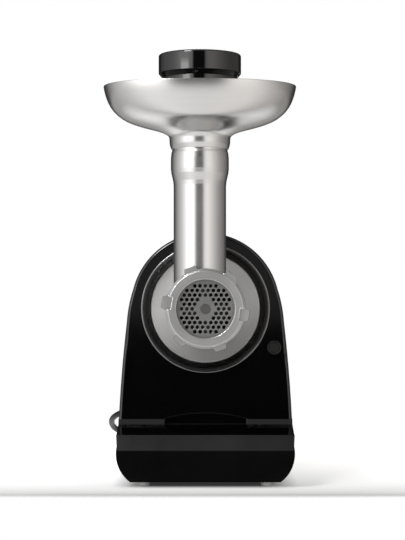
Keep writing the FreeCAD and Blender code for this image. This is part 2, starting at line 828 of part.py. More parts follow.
def tube_along(label, points, radius):
    path, radii = rounded_path(points)
    start = Vector(*points[0])
    facing = Vector(*points[1]) - start
    section = Part.Face(Part.Wire(Part.Circle(start, facing, radius).toShape()))
    tube = path.makePipe(section)
    expected = math.pi * radius ** 2 * path.Length
    print("%s: %.0f mm long, volume %.4f of its section times its length" % (
        label, path.Length, tube.Volume / expected))
    if radii:
        print("%s: radii %s" % (label, ", ".join("%.0f" % r for r in radii)))
    feature(label, tube)


def make_cord():
    x = size("gland_x")
    z = size("gland_z")
    r = value("cord_r")
    gland = body("cord_gland", (x, rear_y, z))
    outline = [
        (0, -8), (5.8, -8), (5.8, 0.1), (8.5, 0.1), (8.5, 2), (6.4, 3.5), (4.3, relief_length), (0, relief_length),
    ]
    turn(gland, "sleeve", "Y", outline)
    tube_along("mains_cord", lead_route, r)

    coil_x = value("coil_x")
    coil_y = value("coil_y")
    mean = value("coil_mean_r")
    lift = 0.9
    coil = body("cord_coil", (size("coil_x"), size("coil_y"), 0))
    half = 3 * size("cord_r") + 0.2
    inner = size("coil_mean_r") - half
    outer = size("coil_mean_r") + half
    high = lift + 4 * size("cord_r")
    turn(coil, "turns", "Z", [(inner, lift), (outer, lift), (outer, high), (inner, high)])
    tie = body("cord_tie", (size("coil_x"), size("coil_y"), 0))
    out = half.value + 1
    band = [
        box_outline(-mean - out, 0, out - mean, high.value + 0.9),
        box_outline(-mean - out + 0.9, lift, out - mean - 0.9, high.value),
    ]
    add(tie, "band", "Y", band, -4, 4)

    plug_x = coil_x + mean + 10
    plug_y = coil_y - 22
    plug_z = 14
    tail_start = (coil_x + mean + 4, coil_y - 2, 10.9)
    tube_along("cord_tail", [tail_start, (plug_x, plug_y, plug_z)], r)
    plug = body("plug_body", (plug_x, plug_y, plug_z))
    outline = [
        (0, 0), (4, 0), (5.6, -14), (9, -17), (13.4, -24), (13.8, -40), (13, -42), (0, -42),
    ]
    turn(plug, "grip", "Y", outline)
    pins = body("plug_pins", (plug_x, plug_y, plug_z))
    add(pins, "pins", "Y", [(-9.5, 0, 2.35), (9.5, 0, 2.35)], -61, -42)


# ---- Grinder head ------------------------------------------------------------------------------

def make_head():
    head = body("grinder_head", (0, 0, axis_z))
    barrel = size("barrel_r")
    plug = size("plug_r")
    bore = size("bore_r")
    thread_r = barrel + 1.2
    front = size("plate_front_y") + 1.5
    nut_back = size("nut_back_y")
    outside = [
        (0, front),
        (thread_r - 0.8, front),
        (thread_r, front + 0.8),
        (thread_r, nut_back),
        (barrel, nut_back + 1),
        (barrel, -104),
        (plug + 0.8, -101),
        (plug + 0.8, -97),
        (plug, -96.5),
        (plug, -71),
        (0, -71),
    ]
    turn(head, "barrel", "Y", outside)
    tube_x = size("tube_x")
    tube_y = size("tube_y")
    tube_r = size("tube_r")
    top = size("spigot_top_z") - axis_z
    tube = [
        (0, 0),
        (tube_r, 0),
        (tube_r, top - 46),
        (tube_r + 0.5, top - 42),
        (tube_r + 2.1, top - 35),
        (tube_r + 2.6, top - 31),
        (tube_r + 2.6, top - 21),
        (tube_r + 2.1, top - 16),
        (tube_r + 1.4, top - 13.5),
        (tube_r + 1.4, top),
        (0, top),
    ]
    turn(head, "feed_tube", "Z", tube, (tube_x, tube_y))
    inside = [
        (0, front - 1),
        (size("plate_r") + 0.2, front - 1),
        (size("plate_r") + 0.2, size("plate_front_y") + size("plate_thick")),
        (bore, size("plate_front_y") + size("plate_thick")),
        (bore, -88),
        (10, -85),
        (10, -70),
        (0, -70),
    ]
    turn(head, "bore", "Y", inside, remove=True)
    throat = size("throat_r")
    turn(head, "throat", "Z", [(0, 0), (throat, 0), (throat, top + 1), (0, top + 1)], (tube_x, tube_y), True)
    lugs = [sector(33, plug.value + 3.5, a, 15) for a in lug_angles]
    add(head, "lugs", "Y", lugs, -80.6, -72)


def make_head_bush():
    bush = body("head_bush", (0, 0, axis_z))
    add(bush, "sleeve", "Y", [(0, 0, 10), (0, 0, 8.06)], -84.5, -74)


def make_plate():
    front = size("plate_front_y")
    back = front + size("plate_thick")
    plate = body("cutting_plate", (0, 0, axis_z))
    add(plate, "disc", "Y", [(0, 0, size("plate_r")), (0, 0, size("stud_r") + 0.1)], front, back)
    pitch = size("plate_pitch")
    holes = []
    for row in range(-5, 6):
        shift = 0.5 if row % 2 == 0 else 0
        for column in range(-6, 7):
            x = column + shift
            z = row * math.sqrt(3) / 2
            if 2.0 < math.hypot(x, z) < 5.0:
                holes.append((pitch * x, pitch * z, size("plate_hole_r")))
    print("cutting plate: %d holes" % len(holes))
    cut(plate, "holes", "Y", holes, front - 1, back + 1)
    cut(plate, "key_notch", "Y", [box_outline(-2, 28.4, 2, 32)], front - 1, back + 1)


def make_nut():
    nut = body("ring_nut", (0, 0, axis_z))
    r = size("nut_r")
    front = size("nut_front_y")
    back = size("nut_back_y")
    hole = size("aperture_r")
    thread = size("barrel_r") + 1.7
    outline = [
        (hole, front + 0.8),
        (hole + 0.8, front),
        (r - 1.2, front, 1.2),
        (r, front + 1.2),
        (r, back - 4),
        (r + 2, back - 2),
        (r + 2, back),
        (thread, back),
        (thread, front + 4.7),
        (hole, front + 4.7),
    ]
    turn(nut, "ring", "Y", outline)
    tip = size("lug_r")
    sides = 0.985
    lug = [(r - 1, -7.5), (tip * sides, -5), (tip * sides, 5), (r - 1, 7.5)]
    lugs = []
    for i in range(6):
        a = math.radians(-9 + 60 * i)
        lugs.append([(x * math.cos(a) - z * math.sin(a), x * math.sin(a) + z * math.cos(a)) for x, z in lug])
    add(nut, "lugs", "Y", lugs, front + 3, back - 2)
    notches = []
    for a in (math.radians(-9), math.radians(171)):
        notch = box_outline(hole.value + 4.6, -5.8, r.value + 2, 5.8)
        notches.append([(x * math.cos(a) - z * math.sin(a), x * math.sin(a) + z * math.cos(a)) for x, z in notch])
    cut(nut, "notches", "Y", notches, front - 1, front + 3)


def make_auger():
    """A shaft with one screw flight, a square for the knife, a stud in front and a hexagon behind."""
    pitch = 25
    outer = value("bore_r") - 0.8
    low = -172.5
    high = -90
    helix = Part.makeHelix(pitch, high - low - 11, outer)
    thick = 2.2
    section = Part.makePolygon([
        Vector(6, 0, -thick - 0.8),
        Vector(outer, 0, -thick / 2),
        Vector(outer, 0, thick / 2),
        Vector(6, 0, thick + 0.8),
        Vector(6, 0, -thick - 0.8),
    ])
    flight = Part.Wire(helix.Edges).makePipeShell([section], True, True)
    flight.rotate(Vector(0, 0, 0), Vector(1, 0, 0), -90)
    flight.translate(Vector(0, low + 3.6, 0))
    screw = along_y(11, low, high).fuse(flight).fuse(along_y(20, high - 3, high))
    screw = screw.fuse(along_y(8, high - 1, -73.4))
    screw = screw.fuse(along_y(value("stud_r"), value("plate_front_y") - 0.4, low + 1))
    screw = screw.fuse(Part.makeBox(9.8, 10.5, 9.8, Vector(-4.9, value("plate_front_y") + 5, -4.9)))
    key = Part.Face(Part.makePolygon([Vector(x, -74, z) for x, z in hexagon(12) + hexagon(12)[:1]]))
    screw = screw.fuse(key.extrude(Vector(0, 11.9, 0)))
    feature("auger", screw, (0, 0, axis_z))


def make_knife():
    knife = body("cutting_knife", (0, 0, axis_z))
    back = size("plate_front_y") + size("plate_thick") + 9.3
    front = size("plate_front_y") + size("plate_thick") + 0.3
    add(knife, "hub", "Y", [(0, 0, 10.5)], front, back)
    blade = add(knife, "blade", "Y", [[(7, -3.4), (26, -2.2), (26, 3.8), (7, 5.4)]], front, front + 6)
    round_pattern(knife, "blades", blade, 4)
    cut(knife, "square", "Y", [box_outline(-4.9, -4.9, 4.9, 4.9)], front - 1, back + 1)


# ---- Tray and pusher ---------------------------------------------------------------------------

# The tray's side from the neck to the rim: half width, height.
tray_side = [
    (29.2, 329.5), (31.5, 331.8), (39.7, 335.3), (51.9, 338), (64.5, 342), (72.4, 345.5),
    (81.3, 353), (85.8, 360.5), (88.6, 368.5), (90, 376),
]
tray_wall = 1.4


def tray_ring(half_x, z, grow=0):
    """One level of the tray: a circle at the neck, squarer and longer in X towards the rim."""
    neck = tray_side[0][0]
    share = (half_x - neck) / (value("rim_half_x") - neck)
    half_y = neck + (value("rim_half_y") - neck) * share + grow
    power = 2 / (2 + 0.3 * min(1, share * 1.5))
    points = []
    count = 40
    for i in range(count):
        a = 2 * math.pi * i / count
        x = math.copysign(abs(math.cos(a)) ** power, math.cos(a)) * (half_x + grow)
        y = math.copysign(abs(math.sin(a)) ** power, math.sin(a)) * half_y
        points.append(Vector(x, y, z))
    curve = Part.BSplineCurve()
    curve.interpolate(Points=points, PeriodicFlag=True, Parameters=[float(i) for i in range(count + 1)])
    return Part.Wire(curve.toShape())


def make_tray():
    outside = [tray_ring(x, z) for x, z in tray_side]
    bowl = Part.makeLoft(outside, True)
    inside = []
    for i, (x, z) in enumerate(tray_side):
        before = tray_side[max(0, i - 1)]
        after = tray_side[min(len(tray_side) - 1, i + 1)]
        slope = math.atan2(after[1] - before[1], after[0] - before[0])
        inside.append(tray_ring(x, z + tray_wall * math.cos(slope), -tray_wall * math.sin(slope)))
    inside.append(tray_ring(tray_side[-1][0], value("rim_z") + 3, -tray_wall))
    hollow = Part.makeLoft(inside, True)
    neck_r = value("tube_r") + 3.9
    sleeve = Part.makeCylinder(neck_r, 13.5, Vector(0, 0, 317.5))
    bore = Part.makeCylinder(value("tube_r") + 1.8, 40, Vector(0, 0, 310))
    tray = bowl.fuse(sleeve).cut(hollow).cut(bore)
    feature("hopper_tray", tray, (size("tube_x"), size("tube_y"), 0))


def make_pusher():
    at = (size("tube_x"), size("tube_y"), 0)
    r = size("pusher_r")
    stem = size("stem_r")
    low = size("cap_low_z")
    pusher = body("pusher_body", at)
    outline = [
        (0, 199), (stem - 1.5, 199), (stem, 200.5), (stem, 331.8), (r - 3, 341), (r, 344.5), (r, low),
        (r - 2.5, low), (r - 2.5, 346), (stem - 2.5, 336), (stem - 2.5, 202), (0, 202),
    ]
    turn(pusher, "cup", "Z", outline)
    cap = body("pusher_cap", at)
    top = size("cap_top_z")
    c = size("cap_r")
    outline = [
        (0, low + 0.1), (r + 0.2, low + 0.1), (c - 0.6, low + 3.4), (c, low + 4.4), (c, top - 2, 2), (c - 2, top),
        (c - 6, top), (c - 7.5, top - 0.9), (0, top - 0.9),
    ]
    turn(cap, "lid", "Z", outline)


def main():
    make_front_cover()
    make_main_housing()
    make_rear_cover()
    make_housing_screws()
    make_base()
    make_feet()
    make_collar()
    make_socket()
    make_gears()
    make_gearbox()
    make_output_shaft()
    make_motor()
    make_switch()
    make_button()
    make_cord()
    make_head()
    make_head_bush()
    make_plate()
    make_nut()
    make_auger()
    make_knife()
    make_tray()
    make_pusher()
    doc.recompute()
    check()
    write()


def check():
    """Every object is up to date, every shape is whole, and every feature changed its body's volume."""
    faults = []
    for thing in doc.Objects:
        if "Invalid" in thing.State or "Error" in thing.State:
            faults.append("%s is %s" % (thing.Label, thing.State))
    for piece in kept:
        if piece.Shape.isNull() or not piece.Shape.isValid() or not piece.Shape.Solids:
            faults.append("%s has no valid shape" % piece.Label)
            continue
        before = None
        for step in getattr(piece, "Group", []):
            if not hasattr(step, "BaseFeature") or step.Shape.isNull():
                continue
            if before is not None and abs(step.Shape.Volume - before) < 1e-3:
                faults.append("%s: %s changes nothing" % (piece.Label, step.Label))
            before = step.Shape.Volume
    if faults:
        raise RuntimeError("; ".join(faults))


def write():
    os.makedirs("parts", exist_ok=True)
    for piece in kept:
        piece.Shape.exportStep("parts/%s.step" % piece.Label)
        count = len(piece.Shape.Solids)
        print("%-22s %2d solid%s %9.0f mm3" % (piece.Label, count, "s" if count > 1 else " ", piece.Shape.Volume))
    print("%d parts" % len(kept))


main()
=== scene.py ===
import math

import bmesh
import bpy
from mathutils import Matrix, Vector


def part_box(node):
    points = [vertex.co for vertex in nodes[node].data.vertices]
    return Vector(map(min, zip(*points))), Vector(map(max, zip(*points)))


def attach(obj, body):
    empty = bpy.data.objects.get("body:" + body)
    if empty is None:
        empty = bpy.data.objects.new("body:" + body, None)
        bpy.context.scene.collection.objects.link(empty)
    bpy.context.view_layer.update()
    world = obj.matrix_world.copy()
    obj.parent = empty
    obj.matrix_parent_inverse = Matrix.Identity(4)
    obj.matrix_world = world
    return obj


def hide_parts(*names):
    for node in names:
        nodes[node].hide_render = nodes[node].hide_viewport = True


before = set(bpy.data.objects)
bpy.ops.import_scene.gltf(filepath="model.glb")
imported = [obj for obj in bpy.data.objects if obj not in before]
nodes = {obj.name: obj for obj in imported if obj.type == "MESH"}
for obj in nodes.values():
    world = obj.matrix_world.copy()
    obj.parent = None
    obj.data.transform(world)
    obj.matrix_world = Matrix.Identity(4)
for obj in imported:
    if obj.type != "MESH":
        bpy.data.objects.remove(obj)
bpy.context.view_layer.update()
mm = 0.001
print("frame loaded,", len(nodes), "nodes")


def middle(node):
    low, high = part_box(node)
    return (low + high) / 2


axisZ = middle("cutting_plate").z
tubeAt = middle("pusher_cap")

# The camera stands in front at the height of the grinding head and looks straight along +Y.
cameraKit = {"distance": 1.5, "height": 0.177, "lens": 110.2, "right": -0.0054, "up": 0.0556}
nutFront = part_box("ring_nut")[0].y
cameraData = bpy.data.cameras.new("camera")
cameraData.lens = cameraKit["lens"]
cameraData.sensor_width = 36
cameraData.shift_x = cameraKit["right"]
cameraData.shift_y = cameraKit["up"]
camera = bpy.data.objects.new("camera", cameraData)
camera.location = (0, nutFront - cameraKit["distance"], cameraKit["height"])
camera.rotation_euler = (math.pi / 2, 0, 0)
bpy.context.scene.collection.objects.link(camera)
bpy.context.scene.camera = camera
print("camera ready")


# Shader maths: a wrapped socket adds a Math node for each operator.
class Wire:
    def __init__(self, tree, socket):
        self.tree = tree
        self.socket = socket

    def node(self, kind, settings=None, outlet=0, **sockets):
        made = self.tree.nodes.new(kind)
        for name, value in (settings or {}).items():
            setattr(made, name, value)
        for name, value in sockets.items():
            key = int(name[1:]) if name[0] == "i" and name[1:].isdigit() else name.replace("_", " ")
            if isinstance(value, Wire):
                self.tree.links.new(value.socket, made.inputs[key])
            else:
                made.inputs[key].default_value = value
        return Wire(self.tree, made.outputs[outlet])

    def maths(self, operation, *others):
        values = {"i%d" % i: x for i, x in enumerate(others)}
        return self.node("ShaderNodeMath", {"operation": operation}, **values)

    def __add__(self, other):
        return self.maths("ADD", self, other)

    def __sub__(self, other):
        return self.maths("SUBTRACT", self, other)

    def __rsub__(self, other):
        return self.maths("SUBTRACT", other, self)

    def __mul__(self, other):
        return self.maths("MULTIPLY", self, other)

    def __truediv__(self, other):
        return self.maths("DIVIDE", self, other)

    __radd__ = __add__
    __rmul__ = __mul__

    def clamped(self):
        return self.node("ShaderNodeClamp", Value=self)

    def between(self, low, high, start=0.0, end=1.0):
        values = {"Value": self, "From_Min": low, "From_Max": high, "To_Min": start, "To_Max": end}
        return self.node("ShaderNodeMapRange", **values)

    def blend(self, first, second):
        return self.node(
            "ShaderNodeMix", {"data_type": "RGBA"}, outlet=2, i0=self, i6=first, i7=second
        )

    def noise(self, scale, detail=3.0, rough=0.5, dimensions="3D"):
        return self.node(
            "ShaderNodeTexNoise", {"noise_dimensions": dimensions},
            Vector=self, Scale=scale, Detail=detail, Roughness=rough,
        )

    def placed(self, scale=(1, 1, 1), location=(0, 0, 0)):
        return self.node("ShaderNodeMapping", Vector=self, Scale=scale, Location=location)

    def parts(self):
        made = self.tree.nodes.new("ShaderNodeSeparateXYZ")
        self.tree.links.new(self.socket, made.inputs[0])
        return [Wire(self.tree, made.outputs[i]) for i in range(3)]

    def joined(self, x, y, z):
        return self.node("ShaderNodeCombineXYZ", X=x, Y=y, Z=z)


def material(name, **constants):
    made = bpy.data.materials.new(name)
    made.use_nodes = True
    tree = made.node_tree
    shader = tree.nodes["Principled BSDF"]
    for key, value in constants.items():
        shader.inputs[key.replace("_", " ")].default_value = value
    place = tree.nodes.new("ShaderNodeTexCoord")
    return made, Wire(tree, place.outputs["Object"]), shader


def plug(wire, shader, socket):
    wire.tree.links.new(wire.socket, shader.inputs[socket])


def farFrom(across, along):
    squares = across * across + along * along
    return across.maths("SQRT", squares)


def bump(height, shader, strength, distance=0.0002, edge=None):
    made = height.node("ShaderNodeBump", Height=height, Strength=strength, Distance=distance)
    if edge:
        height.tree.links.new(edge.socket, made.socket.node.inputs["Normal"])
    plug(made, shader, "Normal")


# The surface's direction as if its corners were rounded, and how near a corner is, from 0 to 1.
cornerKit = {"samples": 6, "flat": 0.995, "turned": 0.88}


def corners(at, radius):
    rounded = at.node("ShaderNodeBevel", {"samples": cornerKit["samples"]}, Radius=radius * mm)
    plain = at.node("ShaderNodeNewGeometry", outlet="Normal")
    dot = {"operation": "DOT_PRODUCT"}
    same = at.node("ShaderNodeVectorMath", dot, outlet="Value", i0=rounded, i1=plain)
    return rounded, same.between(cornerKit["flat"], cornerKit["turned"])


def grey(level, warm=0.0):
    return (level * (1 + warm), level, level * (1 - warm), 1)


# Lacquered plastic with faint haze and wipe marks. A bead, where there is one, has a clear coat.
def makeGloss(name, kit):
    made, at, shader = material(name, IOR=kit["ior"])
    haze = at.noise(22, 4, 0.6).between(0.35, 0.75)
    wipe = at.placed((1, 1, 0.35)).noise(140, 3, 0.55).between(0.45, 0.8)
    plug(haze.blend(grey(kit["shade"]), grey(kit["shade"] * 1.5)), shader, "Base Color")
    worn = haze * 0.5 + wipe * 0.5
    plug(worn.between(0, 1, kit["rough"], kit["rough"] * 1.9), shader, "Roughness")
    rounded = corners(at, kit["edge"])[0]
    bump(at.noise(260, 2, 0.4), shader, kit["ripple"], 0.00004, rounded)
    if "beadFrom" in kit:
        shader.inputs["Coat IOR"].default_value = kit["coatIor"]
        shader.inputs["Coat Roughness"].default_value = kit["coatRough"]
        x, y, z = at.placed((1, 1, 1), (0, 0, -axisZ)).parts()
        start = kit["beadFrom"]
        plug(farFrom(x, z).between(start - mm, start + mm), shader, "Coat Weight")
    return made


def makeMoulded(name, kit):
    made, at, shader = material(name, IOR=kit.get("ior", 1.46), Metallic=kit.get("metal", 0.0))
    grain = at.noise(kit["grain"], 2, 0.6)
    cloud = at.noise(30, 3, 0.5).between(0.3, 0.7)
    shade = kit["colour"]
    lighter = tuple(min(1, c * 1.25 + 0.002) for c in shade[:3]) + (1,)
    plug(cloud.blend(shade, lighter), shader, "Base Color")
    worn = grain * 0.5 + cloud * 0.5
    plug(worn.between(0.2, 0.8, kit["rough"] * 0.85, kit["rough"] * 1.15), shader, "Roughness")
    bump(grain, shader, kit["bump"], 0.0001)
    return made


# Fine tool marks: noise that is long along the brushing and short across it.
def makeBrushed(name, kit):
    made, at, shader = material(name, Metallic=1.0)
    x, y, z = at.placed((1, 1, 1), tuple(-c for c in kit["centre"])).parts()
    if kit["way"] == "round":
        radius = farFrom(x, z)
        marks = at.joined(radius, 0.1, radius * 0.3)
    elif kit["way"] == "roundZ":
        radius = farFrom(x, y)
        marks = at.joined(radius * 0.6, z, radius * 0.1)
    elif kit["way"] == "up":
        marks = at.joined(x, y, z * 0.02)
    else:
        marks = at.joined(x, y * 0.03, z)
    lines = marks.noise(kit["fine"], 4, 0.65)
    cloud = at.noise(18, 4, 0.55).between(0.3, 0.7)
    fleck = at.noise(900, 1, 0.5).between(0.62, 0.78)
    tone = lines.between(0.3, 0.7) * 0.6 + cloud * 0.4
    shade = kit["shade"]
    vary = kit.get("vary", 0.06)
    darker = grey(shade * (1 - vary), kit["warm"])
    lighter = grey(min(1, shade * (1 + vary)), kit["warm"])
    plain = tone.blend(darker, lighter)
    rough = (lines * 0.5 + cloud * 0.35 + fleck * 0.3).between(
        0.2, 0.85, kit["rough"] * (1 - 2 * vary), kit["rough"] * (1 + 3 * vary))
    if "sheen" in kit:
        # Painted shade: the disc's colour darkens towards the side away from the given direction.
        across, upward = kit["sheen"]
        side = (x * across + z * upward) / (radius + 0.001)
        plain = side.between(-0.95, 0.15).blend(grey(shade * kit["dim"], kit["warm"]), plain)
    if "polish" in kit:
        rounded, near = corners(at, kit["edge"])
        # Painted shade: a band just off each corner darkens to rim times the colour.
        plain = near.between(0.02, 0.3).blend(plain, grey(shade * kit.get("rim", 1.0)))
        # The corners are lighter in colour: partly polished metal, partly painted highlight.
        bright = near.between(0.35, 0.8)
        if "polishWithin" in kit:
            within = kit["polishWithin"]
            bright = bright * radius.between(within + 0.0003, within - 0.0003)
        plug(bright.blend(plain, grey(kit["polish"])), shader, "Base Color")
        plug(rough * (1 - near * 0.35), shader, "Roughness")
        bump(lines, shader, kit["bump"], 0.00006, rounded)
    else:
        plug(plain, shader, "Base Color")
        plug(rough, shader, "Roughness")
        bump(lines, shader, kit["bump"], 0.00006)
    return made


# Phase of the sine patterns, in radians for each metre.
strandsPerMetre = 900
sheetsPerMetre = 6280


def makeWound(name):
    made, at, shader = material(name, Metallic=1.0)
    x, y, z = at.parts()
    strand = x.maths("SINE", x * strandsPerMetre + z * strandsPerMetre).between(-1, 1)
    plug(strand.blend((0.35, 0.13, 0.05, 1), (0.72, 0.33, 0.17, 1)), shader, "Base Color")
    plug(strand.between(0, 1, 0.25, 0.5), shader, "Roughness")
    bump(strand, shader, 0.6, 0.0003)
    return made


def makeLayered(name):
    made, at, shader = material(name, Metallic=1.0)
    x, y, z = at.parts()
    sheets = y.maths("SINE", y * sheetsPerMetre).between(-1, 1)
    plug(sheets.blend(grey(0.16), grey(0.34)), shader, "Base Color")
    plug(sheets.between(0, 1, 0.3, 0.55), shader, "Roughness")
    bump(sheets, shader, 0.5, 0.0002)
    return made


# The base's bevelled band is glossier than the front below it. The front is also darker and
# reflects less, as painted shade.
def makeBaseFinish(kit):
    made, at, shader = material("baseBlack", IOR=kit["bandIor"])
    x, y, z = at.parts()
    grain = at.noise(kit["grain"], 2, 0.6)
    cloud = at.noise(26, 3, 0.5).between(0.3, 0.7)
    plug(cloud.blend(grey(kit["band"]), grey(kit["band"] * 1.5)), shader, "Base Color")
    worn = grain * 0.5 + cloud * 0.5
    plug(worn.between(0.2, 0.8, kit["rough"] * 0.8, kit["rough"] * 1.2), shader, "Roughness")
    bump(grain, shader, 0.1, 0.0001)
    # Painted shade: the front below the band gets a darker colour and a weaker reflection.
    dullShadedFront = at.node("ShaderNodeBsdfPrincipled", IOR=kit["frontIor"])
    inner = dullShadedFront.socket.node
    plug(cloud.blend(grey(kit["front"]), grey(kit["front"] * 1.6)), inner, "Base Color")
    plug(worn.between(0.2, 0.8, *kit["frontRough"]), inner, "Roughness")
    bump(grain, inner, 0.15, 0.0001)
    lower = z.between(kit["bandLow"] + 0.0004, kit["bandLow"] - 0.0004)
    band = Wire(at.tree, shader.outputs[0])
    mixed = at.node("ShaderNodeMixShader", i0=lower, i1=band, i2=dullShadedFront)
    at.tree.links.new(mixed.socket, at.tree.nodes["Material Output"].inputs[0])
    return made


headCentre = (0, 0, axisZ)
trayCentre = (tubeAt.x, tubeAt.y, 0)
glossKits = {
    "glossBlack": {"shade": 0.0008, "rough": 0.05, "ripple": 0.03, "ior": 1.5, "edge": 0.9},
    "capBlack": {"shade": 0.0015, "rough": 0.045, "ripple": 0.04, "ior": 1.62, "edge": 0.5},
    "beadBlack": {
        "shade": 0.001, "rough": 0.12, "ripple": 0.03, "ior": 1.36, "edge": 1.0,
        "beadFrom": 0.0598, "coatIor": 2.0, "coatRough": 0.24,
    },
}
mouldedKits = {
    "buttonBlack": {"colour": grey(0.004), "rough": 0.3, "grain": 1500, "bump": 0.1},
    "satinBlack": {"colour": grey(0.006), "rough": 0.34, "grain": 1400, "bump": 0.12},
    "switchBlack": {"colour": grey(0.012), "rough": 0.3, "grain": 1800, "bump": 0.15},
    "leadBlack": {"colour": grey(0.003), "rough": 0.2, "grain": 900, "bump": 0.05, "ior": 1.32},
    "paleRubber": {"colour": grey(0.4, 0.02), "rough": 0.5, "grain": 700, "bump": 0.2},
    "nylon": {"colour": (0.74, 0.71, 0.62, 1), "rough": 0.4, "grain": 500, "bump": 0.15},
    "greyNylon": {"colour": grey(0.1), "rough": 0.5, "grain": 800, "bump": 0.3},
    "carbon": {"colour": grey(0.02), "rough": 0.6, "grain": 1500, "bump": 0.4},
    "bronze": {
        "colour": (0.5, 0.33, 0.15, 1), "rough": 0.35, "grain": 1200, "bump": 0.3, "metal": 1.0,
    },
}
brushedKits = {
    "trayMetal": {
        "centre": trayCentre, "way": "roundZ", "fine": 420, "shade": 0.53, "warm": 0.014,
        "rough": 0.24, "bump": 0.01, "vary": 0.025, "polish": 0.7, "edge": 0.6,
    },
    "tubeMetal": {
        "centre": trayCentre, "way": "up", "fine": 260, "shade": 0.53, "warm": 0.01,
        "rough": 0.25, "bump": 0.01, "vary": 0.03, "polish": 0.65, "edge": 0.5,
    },
    # The nut's rim sets the painted shade beside its edges.
    "nutMetal": {
        "centre": headCentre, "way": "round", "fine": 500, "shade": 0.43, "warm": 0.002,
        "rough": 0.38, "bump": 0.03, "vary": 0.08, "polish": 1.0, "edge": 0.8, "rim": 0.2,
        "polishWithin": 0.0364,
    },
    "discMetal": {
        "centre": headCentre, "way": "round", "fine": 1100, "shade": 0.56, "warm": 0.016,
        "rough": 0.48, "bump": 0.03, "vary": 0.06, "polish": 1.0, "edge": 2.2,
        # Painted shade: the disc's lower side darkens to dim times its colour.
        "sheen": (-0.2, 0.98), "dim": 0.4,
    },
    "plateMetal": {
        "centre": headCentre, "way": "along", "fine": 600, "shade": 0.2, "warm": 0.004,
        "rough": 0.46, "bump": 0.04, "polish": 0.42, "edge": 0.3,
    },
    # Painted shade: the knife's steel is darkened so the plate's holes in front of it look shaded.
    "darkSteel": {
        "centre": headCentre, "way": "along", "fine": 600, "shade": 0.09, "warm": 0.0,
        "rough": 0.4, "bump": 0.03,
    },
    "pinMetal": {
        "centre": headCentre, "way": "along", "fine": 700, "shade": 0.12, "warm": 0.04,
        "rough": 0.42, "bump": 0.05,
    },
    "groundSteel": {
        "centre": headCentre, "way": "round", "fine": 1200, "shade": 0.56, "warm": 0.0,
        "rough": 0.3, "bump": 0.15,
    },
    "zinc": {
        "centre": (0, 0, 0), "way": "up", "fine": 400, "shade": 0.6, "warm": -0.01,
        "rough": 0.4, "bump": 0.1,
    },
    "nickel": {
        "centre": (0, 0, 0), "way": "along", "fine": 900, "shade": 0.7, "warm": 0.02,
        "rough": 0.18, "bump": 0.05,
    },
}
baseKit = {
    "band": 0.0035, "front": 0.0016, "bandIor": 1.33, "frontIor": 1.08, "rough": 0.34,
    "frontRough": (0.38, 0.55), "grain": 1400, "bandLow": 0.036,
}
finish = {
    "baseBlack": makeBaseFinish(baseKit),
    "copper": makeWound("copper"),
    "lamination": makeLayered("lamination"),
}
for make, kits in ((makeGloss, glossKits), (makeMoulded, mouldedKits), (makeBrushed, brushedKits)):
    for name, kit in kits.items():
        finish[name] = make(name, kit)
print("finishes ready")

# Which nodes wear which finish.
wears = {
    "glossBlack": ["front_cover", "main_housing", "rear_cover"],
    "buttonBlack": ["release_button"],
    "beadBlack": ["collar_ring"],
    "capBlack": ["pusher_cap", "pusher_body"],
    "baseBlack": ["base_shell"],
    "satinBlack": ["bottom_plate", "button_guide", "cord_tie"],
    "switchBlack": ["switch_body", "switch_rocker"],
    "leadBlack": ["cord_gland", "mains_cord", "cord_coil", "cord_tail", "plug_body"],
    "paleRubber": ["foot_front_left", "foot_front_right", "foot_rear_left", "foot_rear_right"],
    "nylon": ["output_gear", "second_gear", "first_gear"],
    "greyNylon": ["gearbox_housing", "gearbox_cover", "cooling_fan"],
    "carbon": ["carbon_brushes"],
    "trayMetal": ["hopper_tray"],
    "tubeMetal": ["grinder_head", "hub_socket"],
    "nutMetal": ["ring_nut"],
    "pinMetal": ["auger"],
    "darkSteel": ["cutting_knife"],
    "discMetal": ["hub_disc"],
    "plateMetal": ["cutting_plate"],
    "groundSteel": [
        "output_shaft", "second_axle", "first_axle", "motor_shaft", "motor_bearing_front",
        "motor_bearing_rear", "button_spring",
    ],
    "zinc": ["housing_screws", "base_screws", "gearbox_screws", "motor_bolts", "motor_end_frame"],
    "bronze": ["output_bush_front", "output_bush_rear", "head_bush", "brush_holders"],
    "nickel": ["plug_pins"],
    "copper": ["field_coils", "armature_windings", "commutator"],
    "lamination": ["motor_stator", "armature_core"],
}
for name, worn in wears.items():
    for node in worn:
        part = nodes[node]
        for place in part.material_slots:
            place.material = finish[name]

# The lead: out of the gland, round to the left, back behind the housing, and into its coil.
leadKit = {
    "radius": 3.25, "coilX": -11, "coilY": 208, "lift": 0.9, "middle": 35, "turnPoints": 14,
    "layer": 0.87, "easeFrom": 0.7, "start": 64,
}
leadRoute = [
    (-34, 138, 64), (-34, 158, 64), (-44, 175, 62), (-61, 185.5, 57), (-81, 186, 53),
    (-98.5, 195.5, 48), (-108.5, 213, 40), (-108.5, 233, 30), (-98.5, 250, 21.5),
    (-81, 260, 16.5), (-61.5, 262.5, 12.5), (-37.5, 262, 11), (-14, 256, 6.8),
    (7.2, 245.3, 4.15),
]


def coilPoint(kit, radius, angle, height):
    x = kit["coilX"] + radius * math.cos(angle)
    return (x, kit["coilY"] + radius * math.sin(angle), height)


